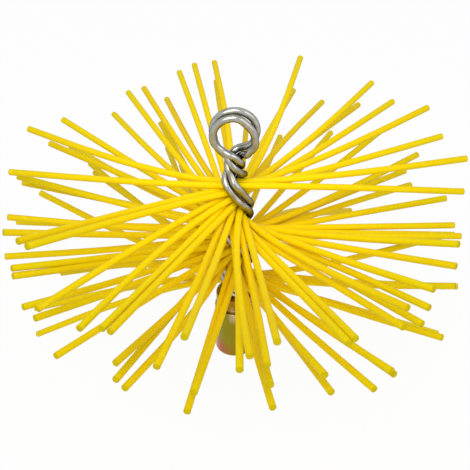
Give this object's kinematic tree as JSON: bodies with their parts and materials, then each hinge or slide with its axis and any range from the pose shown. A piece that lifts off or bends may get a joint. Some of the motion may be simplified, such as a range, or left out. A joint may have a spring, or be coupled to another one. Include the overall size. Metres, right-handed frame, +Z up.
{
  "type": "chimney sweep brush",
  "caption": "Round chimney brush: stiff plastic rods held in a twisted wire stem with an eye on top and a threaded ferrule below.",
  "frame": {"origin": "on the stem's axis, in the flat mouth of the threaded ferrule, which is the part's lowest face", "axes": "+Z up along the stem from the ferrule to the eye, X in the plane of the eye's ring, Y through the eye's hole, with -Y towards the picture's camera"},
  "size_m": [0.1999, 0.1997, 0.1305],
  "materials": {
    "rod_plastic": "semi-gloss extruded plastic rod with square-cut ends",
    "stem_wire": "bright galvanised steel wire",
    "ferrule_steel": "turned steel, zinc plated and yellow chromated"
  },
  "bodies": {
    "root": {"front_wire": "stem_wire", "back_wire": "stem_wire", "threaded_ferrule": "ferrule_steel", "rod_01": "rod_plastic", "rod_02": "rod_plastic", "rod_03": "rod_plastic", "rod_04": "rod_plastic", "rod_05": "rod_plastic", "rod_06": "rod_plastic", "rod_07": "rod_plastic", "rod_08": "rod_plastic", "rod_09": "rod_plastic", "rod_10": "rod_plastic", "rod_11": "rod_plastic", "rod_12": "rod_plastic", "rod_13": "rod_plastic", "rod_14": "rod_plastic", "rod_15": "rod_plastic", "rod_16": "rod_plastic", "rod_17": "rod_plastic", "rod_18": "rod_plastic", "rod_19": "rod_plastic", "rod_20": "rod_plastic", "rod_21": "rod_plastic", "rod_22": "rod_plastic", "rod_23": "rod_plastic", "rod_24": "rod_plastic", "rod_25": "rod_plastic", "rod_26": "rod_plastic", "rod_27": "rod_plastic", "rod_28": "rod_plastic", "rod_29": "rod_plastic", "rod_30": "rod_plastic", "rod_31": "rod_plastic", "rod_32": "rod_plastic", "rod_33": "rod_plastic", "rod_34": "rod_plastic", "rod_35": "rod_plastic", "rod_36": "rod_plastic", "rod_37": "rod_plastic", "rod_38": "rod_plastic", "rod_39": "rod_plastic", "rod_40": "rod_plastic", "rod_41": "rod_plastic", "rod_42": "rod_plastic", "rod_43": "rod_plastic", "rod_44": "rod_plastic", "rod_45": "rod_plastic", "rod_46": "rod_plastic", "rod_47": "rod_plastic", "rod_48": "rod_plastic", "rod_49": "rod_plastic", "rod_50": "rod_plastic"}
  },
  "joints": []
}
